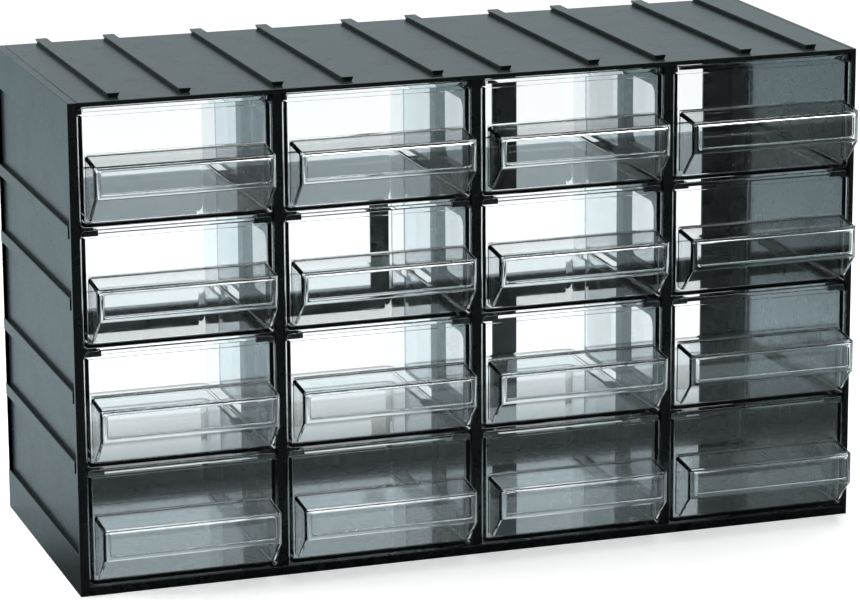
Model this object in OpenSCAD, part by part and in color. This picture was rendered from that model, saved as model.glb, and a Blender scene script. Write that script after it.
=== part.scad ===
// Parts cabinet: a case of interlocking panels with clear sliding drawers.
// +X is to the right, +Y to the back and +Z up. The origin is on the surface it
// stands on, below the middle of the whole object, grips included.

/* [Case] */
// Width that one cabinet takes in a row of them, without the ribs on its right
case_w = 382; // [340:1:480]
// Height that one cabinet takes in a stack of them, without the ribs on its top
case_h = 230; // [200:1:300]
// Depth of the case, without the grips
case_d = 148; // [140:1:200]
// Wall thickness of the four outer panels
wall = 2.2; // [2:0.1:2.8]
// Depth of the raised rim along the front of the left and bottom panels
front_rim_d = 2.5; // [1.5:0.1:4]

/* [Interlock ribs] */
// How far the ribs stand out, which is also the depth of the recess they fit in
rib_h = 2.1; // [1.6:0.1:2.6]
// Width of a rib across its outer face
rib_w = 6.1; // [5:0.1:6.2]
// How far each flank of a rib is undercut
rib_undercut = 0.95; // [0.6:0.05:1]
// Distance between the two ribs of a pair
rib_pair_w = 33; // [30:0.5:33]
// Distance from the front edge of the case to the ribs on the top and right
rib_start = 6.7; // [5.5:0.1:10]
// Distance from the front edge of the case to the ribs on the left and bottom
socket_start = 5.5; // [4.5:0.1:8]
// Rib pairs across the width
modules_across = 5; // [4:1:5]
// Rib pairs up the height
modules_up = 3; // [2:1:3]

/* [Panel joints] */
// How far a tongue reaches into the next panel
tongue_l = 1.2; // [0.8:0.1:1.4]
// Thickness of the tongues
tongue_t = 1.1; // [0.8:0.1:1.3]
// Clearance around tongues and tenons
joint_gap = 0.1; // [0.05:0.05:0.2]

/* [Partitions and runners] */
// Drawers side by side
columns = 4; // [3:1:5]
// Drawers above each other
rows = 4; // [3:1:4]
// Thickness of a partition
post_w = 4.6; // [3.6:0.1:6]
// Depth of a partition's front post
post_d = 11; // [8:0.5:16]
// Depth of a partition's rear post
rear_post_d = 9.5; // [8:0.5:22]
// Depth of a whole partition, and how far back the runners go
partition_d = 59; // [50:1:80]
// Setback of the posts from the front edge of the case
post_inset = 0.5; // [0:0.1:2]
// Height of the solid rails between a partition's windows
rail_h = 22.4; // [16:0.2:28]
// Corner radius of the windows
window_r = 5; // [2:0.5:7]
// Width of the runners
runner_w = 7; // [5:0.5:9]
// Thickness of the runners
runner_t = 2; // [1.4:0.1:2.6]
// Width of the stop tabs at the front of the runners
stop_w = 9; // [8:0.5:12]
// Thickness of the stop tabs
stop_t = 3.4; // [2:0.1:5]
// How far a stop tab hangs below the top of its runner
stop_drop = 3.8; // [3.4:0.1:6]
// Width of the narrower stop tabs below the top panel
top_stop_w = 2.9; // [2.6:0.1:6]
// How far a stop tab hangs below the top panel
top_stop_drop = 3.8; // [3.4:0.1:5]

/* [Back] */
// Width of the flanges at the back of the side panels
flange_w = 15.4; // [8:0.2:24]
// Height of the lips at the back of the top and bottom panels
lip_h = 7.7; // [4:0.1:14]
// Thickness of the flanges and lips
flange_t = 2; // [1.4:0.1:3]
// Thickness of the lattice
lattice_t = 2; // [1.4:0.1:3]
// Width of the lattice's bars and of its lower rail
bar_w = 12.7; // [8:0.1:18]
// Width of the upper rail
upper_rail_w = 21.8; // [12:0.2:26]
// Height of the middle of the upper rail above the base
upper_rail_z = 150.4; // [130:0.2:170]
// Height of the middle of the lower rail above the base
lower_rail_z = 90; // [50:1:100]
// Distance of the outer bars from the middle
outer_bar_x = 64.4; // [40:0.2:90]

/* [Drawers] */
// Running clearance under and above a drawer and behind its front plate
slide_gap = 0.3; // [0.2:0.05:0.5]
// Setback of the front plates from the front edge of the case
plate_inset = 0.8; // [0:0.1:2]
// Gap at each side of a front plate
plate_gap_x = 0.7; // [0.4:0.1:1.2]
// Gap below and above a front plate
plate_gap_z = 0.6; // [0.4:0.1:0.9]
// Thickness of a front plate
plate_t = 2; // [1.6:0.1:3]
// Corner radius of a front plate
plate_r = 2; // [1:0.1:3]
// Height of the bead along the top of a front plate
bead_h = 1.8; // [1:0.1:3]
// How far the bead stands proud of the plate
bead_t = 0.5; // [0.2:0.1:1]
// Gap between a bin and the posts at its sides
bin_gap = 0.95; // [0.6:0.05:1.5]
// Length of a drawer from the face of its plate to the back of its bin
drawer_l = 119; // [110:1:135]
// Wall thickness of a bin
bin_wall = 1.6; // [1.2:0.1:2.2]
// Corner radius at the back of a bin
bin_r = 4; // [2.4:0.1:8]
// Length of the stop lugs
lug_l = 3; // [2:0.1:5]
// Distance from the back of a bin to its stop lugs
lug_setback = 12.8; // [9:0.1:20]

/* [Grips] */
// How far a grip stands in front of its plate
grip_reach = 18; // [14:0.5:24]
// Gap between each end of a grip and the edge of its plate
grip_inset = 2.4; // [1:0.1:6]
// Height of the root of the grip above the runner
grip_z = 33.6; // [28:0.1:38]
// How far the grip falls from its root to its front
grip_fall = 1.9; // [0:0.1:4]
// Thickness of the sloped top of the grip
grip_t = 2; // [1.4:0.1:2.6]
// Height of the label panel
label_h = 15.3; // [12:0.1:18]
// Thickness of the label panel's frame
label_t = 2.4; // [2:0.1:3]
// Depth of the label recess
label_recess = 1; // [0.4:0.1:1.2]
// Height of the frame along the top of the label
label_top_h = 2.2; // [1:0.1:3]
// Height of the frame along the bottom of the label
label_bottom_h = 3; // [1:0.1:4]
// Width of the frame at the ends of the label
label_end_w = 3.2; // [2:0.1:5]
// Thickness of the webs that close the ends of the grip
web_t = 1.6; // [1.2:0.1:2.4]
// How far the foot of a web stands in front of the plate
web_foot = 5; // [2:0.1:8]
// Height of the foot of a web above the runner
web_foot_z = 4.9; // [2:0.1:8]

/* [Hidden] */
$fn = 32;
// Overlap that makes two shapes one, and how far a cut runs past a face
eps = 0.5;

// Where the case stands in the frame of the whole object
left_x = -(case_w + rib_h) / 2;
right_x = left_x + case_w;
grip_out = grip_reach - plate_inset;
front_y = -(case_d - grip_out) / 2;
back_y = front_y + case_d;

// Inner faces of the four panels
inner_left = left_x + rib_h + wall;
inner_right = right_x - wall;
floor_z = rib_h + wall;
ceiling_z = case_h - wall;
inner_w = inner_right - inner_left;

// Ribs: a pair stands on each module of the top and right, and the left and bottom
// hold the matching pairs on the lines between modules
module_w = case_w / modules_across;
module_h = case_h / modules_up;
root_w = rib_w - 2 * rib_undercut;
PAIR = [-rib_pair_w / 2, rib_pair_w / 2];
top_rib_x = [for (i = [0 : modules_across - 1], s = PAIR) (i - (modules_across - 1) / 2) * module_w + s];
bottom_rib_x = [for (i = [1 : modules_across - 1], s = PAIR) (i - modules_across / 2) * module_w + s];
right_rib_z = [for (i = [0 : modules_up - 1], s = PAIR) (i + 0.5) * module_h + s];
left_rib_z = [for (i = [1 : modules_up - 1], s = PAIR) i * module_h + s];
band_w = (rib_pair_w + rib_w) / 2;

// Cells that hold the drawers
row_h = (ceiling_z - floor_z) / rows;
cell_w = (inner_w - (columns - 1) * post_w) / columns;
function cell_x(c) = inner_left + (c - 0.5) * cell_w + (c - 1) * post_w;
function post_x(i) = inner_left + i * cell_w + (i - 0.5) * post_w;
function row_z(r) = ceiling_z - r * row_h;

// Runners start just behind the closed front plates
runner_y = front_y + plate_inset + plate_t + slide_gap;
runner_end_y = front_y + partition_d;
boundary_z = [for (r = [1 : rows - 1]) row_z(r)];

// Tenons of a partition
tenon_w = post_w - 2;
tenon_margin = 2;

// Lattice behind the drawers
lattice_y = back_y - flange_t - lattice_t;
OUTER_BARS = [-outer_bar_x, outer_bar_x];
RAILS = [[lower_rail_z, bar_w], [upper_rail_z, upper_rail_w]];

// Drawer sizes, with Y from the face of the plate and Z from the top of the runner
plate_w = cell_w - 2 * plate_gap_x;
plate_h = row_h - 2 * plate_gap_z;
bin_w = cell_w - 2 * bin_gap;
bin_top = row_h - stop_drop - slide_gap;
lug_top = row_h - runner_t - 2 * slide_gap;
lug_y = drawer_l - lug_setback - lug_l;
grip_w = plate_w - 2 * grip_inset;
label_z = grip_z - grip_fall - label_h;

CASE_COLOR = "#2b3133";
CLEAR_COLOR = [0.85, 0.9, 0.92, 0.45];

// A flat shape drawn in X and Z, run along the depth from y0 to y1
module along_depth(y0, y1) {
    translate([0, y1, 0]) rotate([90, 0, 0]) linear_extrude(y1 - y0) children();
}

// A flat shape drawn in Y and Z, run along the width from x0 to x1
module along_width(x0, x1) {
    translate([x0, 0, 0]) rotate([90, 0, 90]) linear_extrude(x1 - x0) children();
}

// A box between two corners
module block(low, high) {
    translate(low) cube(high - low);
}

// A flat rectangle between two corners
module plot(low, high) {
    translate(low) square(high - low);
}

// A flat rectangle between two corners, with round corners
module rounded_plot(low, high, r) {
    plot(low + [r, 0], high - [r, 0]);
    plot(low + [0, r], high - [0, r]);
    for (x = [low.x + r, high.x - r], z = [low.y + r, high.y - r])
        translate([x, z]) circle(r);
}

// Section of one rib, wider at its outer face, rooted in the wall below
module rib_section() {
    polygon([
        [-root_w / 2, -wall / 2], [root_w / 2, -wall / 2], [root_w / 2, 0],
        [rib_w / 2, rib_h], [-rib_w / 2, rib_h], [-root_w / 2, 0]
    ]);
}

// Section of a band that fills the end of a recessed panel up to its last rib,
// whose free flank is undercut in the same way; it starts at the origin
module band_section(w) {
    polygon([
        [0, -wall / 2], [w - rib_undercut, -wall / 2], [w - rib_undercut, 0],
        [w, rib_h], [0, rib_h]
    ]);
}

// Runner and stop tab beside a cell. side is 1 where it reaches out to the right of x
// and -1 to the left, and z is the height of the row above it.
module runner(x, side, z) {
    x_in = x - side * eps;
    x_out = x + side * runner_w;
    block([min(x_in, x_out), runner_y, z - runner_t], [max(x_in, x_out), runner_end_y, z]);
    stop_tab(x, side, stop_w, z - runner_t + eps, z - stop_drop);
}

// Stop tab alone, w wide, from z_top down to z_low
module stop_tab(x, side, w, z_top, z_low) {
    x_in = x - side * eps;
    x_out = x + side * w;
    block([min(x_in, x_out), runner_y, z_low], [max(x_in, x_out), runner_y + stop_t, z_top]);
}

// All the runners and tabs on one side of one wall or partition
module runners(x, side) {
    for (z = boundary_z) runner(x, side, z);
    stop_tab(x, side, top_stop_w, ceiling_z - joint_gap, ceiling_z - top_stop_drop);
}

// Sections of the slots in a side panel that take the tongues of the top and bottom,
// cut from the inner face at x towards the outside, which is at side
module tongue_slots(x, side) {
    reach = tongue_l + joint_gap;
    x_tip = x + side * reach;
    x_mouth = x - side * eps;
    for (z = [floor_z - tongue_t, ceiling_z])
        plot(
            [min(x_tip, x_mouth), z - joint_gap],
            [max(x_tip, x_mouth), z + tongue_t + joint_gap]
        );
}

// Pockets in a side panel for the ends of the lattice's rails
module rail_pockets(x, side) {
    x_tip = x + side * (tongue_l + joint_gap);
    x_mouth = x - side * eps;
    for (rail = RAILS)
        block(
            [min(x_tip, x_mouth), lattice_y - joint_gap, rail[0] - rail[1] / 2 - joint_gap],
            [max(x_tip, x_mouth), lattice_y + lattice_t, rail[0] + rail[1] / 2 + joint_gap]
        );
}

// Flange along the back of a side panel
module rear_flange(x, side) {
    x_in = x - side * eps;
    x_out = x + side * flange_w;
    block(
        [min(x_in, x_out), back_y - flange_t, floor_z + joint_gap],
        [max(x_in, x_out), back_y, ceiling_z - joint_gap]
    );
}

// Mortises in the top or bottom panel, from its inner face at z towards the outside,
// which is at side, for the partitions and for the outer bars of the lattice
module panel_mortises(z, side) {
    z_tip = z + side * (tongue_l + joint_gap);
    z_mouth = z - side * eps;
    low = min(z_tip, z_mouth);
    high = max(z_tip, z_mouth);
    for (i = [1 : columns - 1], y = tenon_y)
        block(
            [post_x(i) - tenon_w / 2 - joint_gap, y[0] - joint_gap, low],
            [post_x(i) + tenon_w / 2 + joint_gap, y[1] + joint_gap, high]
        );
    for (x = OUTER_BARS)
        block(
            [x - bar_w / 2 - joint_gap, lattice_y - joint_gap, low],
            [x + bar_w / 2 + joint_gap, lattice_y + lattice_t, high]
        );
}

// Where the tenons of a partition start and end along the depth
tenon_y = [
    [front_y + post_inset + tenon_margin, front_y + post_d - tenon_margin],
    [runner_end_y - rear_post_d + tenon_margin, runner_end_y - tenon_margin]
];

// Left side: recessed skin with a front rim, end bands and ribs standing out to the
// left, and the runners of the first column inside
module left_side_panel() {
    skin_x = left_x + rib_h;
    color(CASE_COLOR) difference() {
        union() {
            along_depth(front_y, back_y) {
                plot([skin_x, 0], [inner_left, case_h]);
                translate([skin_x, 0]) mirror([1, 0]) rotate(90) mirror([0, 1]) band_section(band_w);
                translate([skin_x, case_h]) rotate(90) mirror([1, 0]) band_section(band_w);
            }
            along_depth(front_y + socket_start, back_y)
                for (z = left_rib_z) translate([skin_x, z]) rotate(90) rib_section();
            block([left_x, front_y, 0], [skin_x + eps, front_y + front_rim_d, case_h]);
            runners(inner_left, 1);
            rear_flange(inner_left, 1);
        }
        along_depth(front_y - eps, back_y + eps) tongue_slots(inner_left, -1);
        rail_pockets(inner_left, -1);
    }
}

// Right side: plain skin with ribs standing out to the right, and the runners of the
// last column inside
module right_side_panel() {
    color(CASE_COLOR) difference() {
        union() {
            along_depth(front_y, back_y) plot([inner_right, 0], [right_x, case_h]);
            along_depth(front_y + rib_start, back_y)
                for (z = right_rib_z) translate([right_x, z]) rotate(-90) rib_section();
            runners(inner_right, -1);
            rear_flange(inner_right, -1);
        }
        along_depth(front_y - eps, back_y + eps) tongue_slots(inner_right, 1);
        rail_pockets(inner_right, 1);
    }
}

// Top: plain skin between the sides with ribs standing up, and a lip at the back
module top_panel() {
    color(CASE_COLOR) difference() {
        union() {
            along_depth(front_y, back_y) {
                plot([inner_left, ceiling_z], [inner_right, case_h]);
                plot([inner_left - tongue_l, ceiling_z], [inner_right + tongue_l, ceiling_z + tongue_t]);
            }
            along_depth(front_y + rib_start, back_y)
                for (x = top_rib_x) translate([x, case_h]) rib_section();
            block(
                [inner_left + flange_w + joint_gap, back_y - flange_t, ceiling_z - lip_h],
                [inner_right - flange_w - joint_gap, back_y, ceiling_z + eps]
            );
        }
        panel_mortises(ceiling_z, 1);
    }
}

// Bottom: recessed skin between the sides with a front rim, end bands and ribs
// underneath, and a lip at the back
module bottom_panel() {
    // The end bands line up with those of a full case width about the middle
    end_band_w = band_w - (case_w / 2 - inner_right);
    color(CASE_COLOR) difference() {
        union() {
            along_depth(front_y, back_y) {
                plot([inner_left, rib_h], [inner_right, floor_z]);
                plot([inner_left - tongue_l, floor_z - tongue_t], [inner_right + tongue_l, floor_z]);
                for (s = [0, 1])
                    mirror([s, 0]) translate([-inner_right, rib_h]) mirror([0, 1]) band_section(end_band_w);
            }
            along_depth(front_y + socket_start, back_y)
                for (x = bottom_rib_x) translate([x, rib_h]) rotate(180) rib_section();
            block([inner_left, front_y, 0], [inner_right, front_y + front_rim_d, rib_h + eps]);
            block(
                [inner_left + flange_w + joint_gap, back_y - flange_t, floor_z - eps],
                [inner_right - flange_w - joint_gap, back_y, floor_z + lip_h]
            );
        }
        panel_mortises(floor_z, -1);
    }
}

// Upright frame between two columns, with a window for each row, runners on both
// sides and tenons in the top and bottom panels
module partition(i) {
    x = post_x(i);
    window_low_y = front_y + post_d;
    window_high_y = runner_end_y - rear_post_d;
    color(CASE_COLOR) {
        along_width(x - post_w / 2, x + post_w / 2) difference() {
            plot([front_y + post_inset, floor_z], [runner_end_y, ceiling_z]);
            for (r = [1 : rows])
                rounded_plot(
                    [window_low_y, row_z(r) + rail_h / 2],
                    [window_high_y, row_z(r - 1) - rail_h / 2],
                    window_r
                );
        }
        along_width(x - tenon_w / 2, x + tenon_w / 2)
            for (y = tenon_y) plot([y[0], floor_z - tongue_l], [y[1], ceiling_z + tongue_l]);
        runners(x + post_w / 2, 1);
        runners(x - post_w / 2, -1);
    }
}

// Two rails across the back and staggered bars above, between and below them
module back_lattice() {
    half_w = inner_w / 2 + tongue_l;
    color(CASE_COLOR) along_depth(lattice_y, lattice_y + lattice_t) {
        for (rail = RAILS)
            plot([-half_w, rail[0] - rail[1] / 2], [half_w, rail[0] + rail[1] / 2]);
        plot([-bar_w / 2, lower_rail_z], [bar_w / 2, upper_rail_z]);
        for (x = OUTER_BARS) {
            plot([x - bar_w / 2, upper_rail_z], [x + bar_w / 2, ceiling_z + tongue_l]);
            plot([x - bar_w / 2, floor_z - tongue_l], [x + bar_w / 2, lower_rail_z]);
        }
    }
}

// Clear drawer of one cell: r counts rows from the top and c columns from the left
module drawer(r, c) {
    color(CLEAR_COLOR) translate([cell_x(c), front_y + plate_inset, row_z(r)]) {
        front_plate();
        bin();
        grip();
    }
}

// Front plate with round corners and a bead along its top edge
module front_plate() {
    along_depth(0, plate_t)
        rounded_plot([-plate_w / 2, plate_gap_z], [plate_w / 2, plate_gap_z + plate_h], plate_r);
    bead_z = plate_gap_z + plate_h - bead_h;
    block(
        [-plate_w / 2 + plate_r, -bead_t, bead_z],
        [plate_w / 2 - plate_r, eps, bead_z + bead_h]
    );
}

// Outline of the bin from above, taken in by a wall thickness or none; its front
// end is square and its back corners are round
module bin_outline(inset, front) {
    half = bin_w / 2 - inset;
    end = drawer_l - inset;
    r = bin_r - inset;
    plot([-half, front], [half, end - r]);
    plot([-half + r, front], [half - r, end]);
    for (x = [-half + r, half - r]) translate([x, end - r]) circle(r);
}

// Open bin behind the plate, with a lug on each rim that meets the stop tabs
module bin() {
    difference() {
        translate([0, 0, slide_gap]) linear_extrude(bin_top - slide_gap) bin_outline(0, plate_t - eps);
        translate([0, 0, slide_gap + bin_wall]) linear_extrude(row_h) bin_outline(bin_wall, plate_t);
    }
    for (s = [0, 1])
        mirror([s, 0, 0])
            block(
                [bin_w / 2 - bin_wall, lug_y, bin_top - eps],
                [bin_w / 2, lug_y + lug_l, lug_top]
            );
}

// Grip: sloped top, label panel with a framed recess, and a web at each end; the
// fingers go in from below, behind the label panel
module grip() {
    front_z = grip_z - grip_fall;
    inner_reach = grip_reach - label_t;
    slope = grip_fall / grip_reach;
    difference() {
        along_width(-grip_w / 2, grip_w / 2) polygon([
            [eps, grip_z], [0, grip_z], [-grip_reach, front_z], [-grip_reach, label_z],
            [-inner_reach, label_z], [-inner_reach, grip_z - grip_t - inner_reach * slope],
            [0, grip_z - grip_t], [eps, grip_z - grip_t]
        ]);
        block(
            [-grip_w / 2 + label_end_w, -grip_reach - eps, label_z + label_bottom_h],
            [grip_w / 2 - label_end_w, -grip_reach + label_recess, front_z - label_top_h]
        );
    }
    for (s = [0, 1])
        mirror([s, 0, 0])
            along_width(grip_w / 2 - web_t, grip_w / 2) polygon([
                [eps, grip_z - grip_t / 2], [0, grip_z - grip_t / 2],
                [-grip_reach + label_t / 2, front_z - grip_t / 2],
                [-grip_reach + label_t / 2, label_z], [-web_foot, web_foot_z], [eps, web_foot_z]
            ]);
}

left_side_panel();
right_side_panel();
top_panel();
bottom_panel();
for (i = [1 : columns - 1])
    partition(i);
back_lattice();
for (r = [1 : rows], c = [1 : columns])
    drawer(r, c);
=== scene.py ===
"""Looks of a parts cabinet: a black moulded case with clear sliding drawers.

Sizes are millimetres in the classes below and become metres when a mesh is made.
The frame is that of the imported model: +X right, +Y back, +Z up.
"""

import logging
from dataclasses import dataclass, field
from enum import Enum

import bmesh
import bpy
import numpy as np
from mathutils import Matrix, Vector


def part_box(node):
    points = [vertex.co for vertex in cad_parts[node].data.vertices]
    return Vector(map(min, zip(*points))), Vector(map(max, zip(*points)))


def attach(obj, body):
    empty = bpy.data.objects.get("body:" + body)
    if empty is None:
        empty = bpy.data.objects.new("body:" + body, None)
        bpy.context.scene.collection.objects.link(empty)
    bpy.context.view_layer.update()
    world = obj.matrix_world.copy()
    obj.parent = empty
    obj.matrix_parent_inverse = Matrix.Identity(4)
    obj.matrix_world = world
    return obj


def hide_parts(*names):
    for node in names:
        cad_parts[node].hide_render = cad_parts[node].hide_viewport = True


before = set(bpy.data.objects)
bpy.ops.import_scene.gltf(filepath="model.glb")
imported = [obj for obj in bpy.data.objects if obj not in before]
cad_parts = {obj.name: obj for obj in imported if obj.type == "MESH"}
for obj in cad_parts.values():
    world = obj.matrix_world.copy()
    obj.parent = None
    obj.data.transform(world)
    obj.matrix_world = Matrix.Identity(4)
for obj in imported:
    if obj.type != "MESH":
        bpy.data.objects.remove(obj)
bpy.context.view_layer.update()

Pair = tuple[float, float]
Triple = tuple[float, float, float]
Color = tuple[float, float, float, float]
Socket = bpy.types.NodeSocket

MM = 0.001
WHITE = (1.0, 1.0, 1.0, 1.0)
# How far a cutting tool runs past the face that it cuts, in millimetres.
PAST = 1.0
# How much rounder the corners of a panel's outline are than its end edges.
CORNER_TO_EDGE = 1.25
# Keeps the division by an edge's length from failing where the length is nothing, in metres.
TINY = 1e-9
log = logging.getLogger("cabinet")


# ---------------------------------------------------------------- surfaces


class Plane(Enum):
    """Plane that an outline is drawn in, and the axis that it is carried along."""

    FRONT = ((1, 0, 0), (0, 0, 1), (0, 1, 0))
    SIDE = ((0, 1, 0), (0, 0, 1), (1, 0, 0))
    TOP = ((1, 0, 0), (0, 1, 0), (0, 0, 1))

    def place(self, rings: np.ndarray, along: np.ndarray) -> np.ndarray:
        """Put flat rings into space.

        Args:
            rings: flat points, as rings by points by two.
            along: place of each ring along the carrying axis.

        Returns:
            The points in space, as rings by points by three.
        """
        across, up, carry = (np.array(axis, float) for axis in self.value)
        flat = rings[..., :1] * across + rings[..., 1:] * up
        return flat + np.asarray(along, float)[:, None, None] * carry

    def turns_over(self) -> bool:
        """True where the three axes are left-handed, so faces have to be reversed."""
        return float(np.linalg.det(np.array(self.value, float))) < 0


@dataclass
class Shell:
    """A closed surface: a grid of quads between rings, with a face over each end."""

    points: np.ndarray
    quads: np.ndarray
    caps: list[np.ndarray]

    def to_mesh(self, name: str) -> bpy.types.Mesh:
        """Write the shell into a new mesh, in metres.

        Args:
            name: name of the mesh.

        Returns:
            The mesh.
        """
        mesh = bpy.data.meshes.new(name)
        corners = np.concatenate([self.quads.ravel(), *self.caps]).astype(np.int32)
        sizes = np.array([4] * len(self.quads) + [len(cap) for cap in self.caps])
        starts = np.concatenate([[0], np.cumsum(sizes)[:-1]]).astype(np.int32)
        mesh.vertices.add(len(self.points))
        mesh.vertices.foreach_set("co", (self.points * MM).astype(np.float32).ravel())
        mesh.loops.add(len(corners))
        mesh.loops.foreach_set("vertex_index", corners)
        mesh.polygons.add(len(sizes))
        mesh.polygons.foreach_set("loop_start", starts)
        mesh.update(calc_edges=True)
        mesh.validate()
        return mesh


def rounded_outline(
    corners: np.ndarray | list, radii: np.ndarray | list | tuple | float, steps: int = 4
) -> np.ndarray:
    """Outline with an arc at each corner.

    An arc of radius r at a corner whose edges meet at the angle 2h starts and ends
    r / tan(h) from the corner and turns about the point r / sin(h) along the line
    that halves the angle. Its points are the spherical mean of its two end radii.

    Args:
        corners: the corners in order, counter-clockwise.
        radii: one radius for all corners, or one for each.
        steps: straight pieces in each arc.

    Returns:
        The outline's points.
    """
    points = np.asarray(corners, float)
    turned = 0.5 * np.sum(points[:, 0] * np.roll(points[:, 1], -1) - np.roll(points[:, 0], -1) * points[:, 1])
    radius = np.broadcast_to(np.asarray(radii, float), (len(points),))
    if turned < 0:
        points, radius = points[::-1], radius[::-1]
    back = np.roll(points, 1, axis=0) - points
    ahead = np.roll(points, -1, axis=0) - points
    back /= np.linalg.norm(back, axis=1, keepdims=True)
    ahead /= np.linalg.norm(ahead, axis=1, keepdims=True)
    half = 0.5 * np.arccos(np.clip(np.sum(back * ahead, axis=1), -1, 1))
    middle = back + ahead
    middle /= np.linalg.norm(middle, axis=1, keepdims=True)
    centre = points + middle * (radius / np.sin(half))[:, None]
    reach = (radius / np.tan(half))[:, None]
    start = points + back * reach - centre
    end = points + ahead * reach - centre
    sweep = (np.pi - 2 * half)[:, None]
    share = np.linspace(0, 1, steps + 1)[None, :]
    first = (np.sin((1 - share) * sweep) / np.sin(sweep))[..., None]
    last = (np.sin(share * sweep) / np.sin(sweep))[..., None]
    arcs = centre[:, None] + first * start[:, None] + last * end[:, None]
    return arcs.reshape(-1, 2)


def shaped_outline(corners: list[Triple], steps: int = 4) -> np.ndarray:
    """Outline from corners that are each given by their two places and their radius."""
    table = np.array(corners, float)
    return rounded_outline(table[:, :2], table[:, 2], steps)


def box_corners(low: Pair, high: Pair) -> np.ndarray:
    """Corners of an upright rectangle, counter-clockwise."""
    return np.array([low, (high[0], low[1]), high, (low[0], high[1])], float)


def inward(outline: np.ndarray) -> np.ndarray:
    """Step that takes each point of an outline inwards by one unit.

    The step is the mean of the two edge normals, made longer by one over the cosine
    of half the turn, so that both edges move in by the same distance.

    Args:
        outline: a closed counter-clockwise outline.

    Returns:
        One step for each point.
    """
    edge = np.roll(outline, -1, axis=0) - outline
    edge /= np.linalg.norm(edge, axis=1, keepdims=True)
    normal = np.stack([-edge[:, 1], edge[:, 0]], axis=1)
    mean = normal + np.roll(normal, 1, axis=0)
    mean /= np.linalg.norm(mean, axis=1, keepdims=True)
    return mean / np.sum(mean * normal, axis=1, keepdims=True)


def outside_corner(radius: float, signs: tuple[int, int], steps: int = 8) -> np.ndarray:
    """Part of a square corner that a rounding takes away, with the corner at the origin.

    It is bounded by the arc (r cos a - r, r sin a - r) and runs past the corner.

    Args:
        radius: radius of the rounding.
        signs: on which side of the solid the corner is, along each axis.
        steps: straight pieces in the arc.

    Returns:
        The outline, counter-clockwise.
    """
    angle = np.linspace(0, np.pi / 2, steps + 1)
    arc = radius * (np.stack([np.cos(angle), np.sin(angle)], axis=1) - 1)
    outline = np.concatenate([arc, [(-radius, PAST), (PAST, PAST), (PAST, -radius)]]) * signs
    return outline[::-1] if signs[0] * signs[1] > 0 else outline


def sweep(rings: np.ndarray, along: np.ndarray, plane: Plane) -> Shell:
    """Skin a stack of rings with quads and close both ends.

    Args:
        rings: flat rings with the same number of points each.
        along: place of each ring along the plane's axis.
        plane: plane of the rings.

    Returns:
        The closed shell, facing outwards where the rings run counter-clockwise.
    """
    count, around = rings.shape[:2]
    row, column = np.meshgrid(np.arange(count - 1), np.arange(around), indexing="ij")
    beside = (column + 1) % around
    here, above = row * around, (row + 1) * around
    quads = np.stack([here + column, here + beside, above + beside, above + column], axis=-1)
    quads = quads.reshape(-1, 4)
    caps = [np.arange(around)[::-1], (count - 1) * around + np.arange(around)]
    if plane.turns_over():
        quads, caps = quads[:, ::-1], [cap[::-1] for cap in caps]
    return Shell(plane.place(rings, along).reshape(-1, 3), quads, caps)


def quarter(steps: int) -> tuple[np.ndarray, np.ndarray]:
    """Inset and advance of a quarter round of unit radius, from its flat end on."""
    angle = np.linspace(0, np.pi / 2, steps + 1)
    return 1 - np.sin(angle), 1 - np.cos(angle)


def prism(
    outline: np.ndarray, low: float, high: float, plane: Plane, edge: float = 0.3, steps: int = 3
) -> Shell:
    """Outline carried straight along an axis, with its end edges rounded.

    Ring k stands in by edge * (1 - sin a) and on by edge * (1 - cos a), where a goes
    from nothing to a right angle, and the far end repeats this in reverse.

    Args:
        outline: closed outline, counter-clockwise.
        low: where it starts.
        high: where it ends.
        plane: plane of the outline.
        edge: radius of the rounding at both ends.
        steps: straight pieces in the rounding.

    Returns:
        The closed shell.
    """
    inset, advance = quarter(steps)
    insets = edge * np.concatenate([inset, inset[::-1]])
    along = np.concatenate([low + edge * advance, high - edge * advance[::-1]])
    rings = outline[None] + insets[:, None, None] * inward(outline)[None]
    return sweep(rings, along, plane)


def panel_outline(low: Pair, high: Pair, edge: float) -> np.ndarray:
    """Upright rectangle with corners a little rounder than the panel's end edges."""
    return rounded_outline(box_corners(low, high), edge * CORNER_TO_EDGE, steps=3)


def slab(low: Triple, high: Triple, edge: float = 0.3) -> Shell:
    """Block with all its edges rounded, between two corners."""
    return prism(panel_outline(low[:2], high[:2], edge), low[2], high[2], Plane.TOP, edge)


def window_cutter(outline: np.ndarray, low: float, high: float, plane: Plane, flare: float) -> Shell:
    """Tool that cuts a window through a wall and rounds the rims that it leaves.

    Inside the wall it has the window's outline. Near each face it widens by
    flare * (1 - sin a), so the cut leaves a quarter round, and then it runs past.

    Args:
        outline: outline of the window.
        low: one face of the wall.
        high: the other face.
        plane: plane of the outline.
        flare: radius of the rounded rims.

    Returns:
        The closed shell of the tool.
    """
    inset, advance = quarter(steps=3)
    widen = flare * np.concatenate([[inset[0]], 1 - advance, 1 - advance[::-1], [inset[0]]])
    along = np.concatenate(
        [[low - PAST], low + flare * (1 - inset), high - flare * (1 - inset[::-1]), [high + PAST]]
    )
    rings = outline[None] - widen[:, None, None] * inward(outline)[None]
    return sweep(rings, along, plane)


# ---------------------------------------------------------------- joining


def bare_object(mesh: bpy.types.Mesh) -> bpy.types.Object:
    """Link a mesh into the scene as an object at the origin."""
    made = bpy.data.objects.new(mesh.name, mesh)
    bpy.context.scene.collection.objects.link(made)
    return made


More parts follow.
